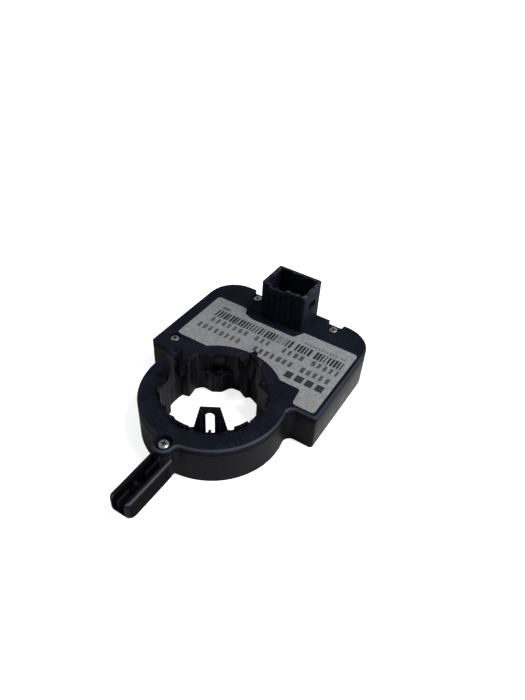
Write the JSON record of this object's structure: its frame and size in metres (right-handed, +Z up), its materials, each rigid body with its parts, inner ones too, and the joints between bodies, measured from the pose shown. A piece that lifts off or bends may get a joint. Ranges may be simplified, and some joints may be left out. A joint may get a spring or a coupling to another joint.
{
  "type": "steering angle sensor",
  "caption": "Flat sensor case with a ring round the steering shaft, a turning clip hub, an upright connector shroud, a silver label and a grooved locating arm.",
  "frame": {"origin": "axis of the hub, which is the steering shaft's axis, at the underside of the case", "axes": "+Z up along the hub's axis to the label side, +Y from the hub to the connector"},
  "size_m": [0.0888, 0.1371, 0.0399],
  "materials": {
    "cover_plastic": "fine grained, dark blue-black",
    "base_plastic": "smooth, dark grey-black",
    "hub_plastic": "satin, dark grey-black",
    "label_foil": "silver-grey foil with grey marks",
    "screw_steel": "bright plated",
    "pin_metal": "tinned",
    "header_plastic": "smooth black",
    "gear_plastic": "natural acetal",
    "magnet_metal": "sintered grey",
    "board_laminate": "green solder mask",
    "chip_plastic": "black moulding",
    "capacitor_body": "tan moulding",
    "crystal_can": "plated can"
  },
  "bodies": {
    "case": {"housing_base": "base_plastic", "top_cover": "cover_plastic", "angle_chip_left": "chip_plastic", "angle_chip_right": "chip_plastic", "circuit_board": "board_laminate", "microcontroller": "chip_plastic", "bus_transceiver": "chip_plastic", "voltage_regulator": "chip_plastic", "clock_crystal": "crystal_can", "capacitor_input": "capacitor_body", "capacitor_output": "capacitor_body", "pin_header": "header_plastic", "label": "label_foil", "connector_pin_1": "pin_metal", "connector_pin_2": "pin_metal", "connector_pin_3": "pin_metal", "connector_pin_4": "pin_metal", "connector_pin_5": "pin_metal", "connector_pin_6": "pin_metal", "screw_front_left": "screw_steel", "screw_back_left": "screw_steel", "screw_back_right": "screw_steel", "screw_front_right": "screw_steel", "screw_arm": "screw_steel"},
    "hub": {"rotor_hub": "hub_plastic"},
    "gear_left": {"measuring_gear_left": "gear_plastic", "magnet_left": "magnet_metal"},
    "gear_right": {"measuring_gear_right": "gear_plastic", "magnet_right": "magnet_metal"}
  },
  "joints": [
    {"name": "hub_turn", "type": "hinge", "parent": "case", "child": "hub", "pos_m": [0, 0, 0], "axis": [0, 0, 1], "continuous": true},
    {"name": "gear_left_turn", "type": "hinge", "parent": "case", "child": "gear_left", "pos_m": [-0.01592, 0.03415, 0.006], "axis": [0, 0, 1], "continuous": true},
    {"name": "gear_right_turn", "type": "hinge", "parent": "case", "child": "gear_right", "pos_m": [0.01559, 0.03342, 0.006], "axis": [0, 0, 1], "continuous": true}
  ],
  "couplings": [
    {"joint": "gear_left_turn", "follows": "hub_turn", "ratio": -2.3571},
    {"joint": "gear_right_turn", "follows": "hub_turn", "ratio": -2.5385}
  ]
}
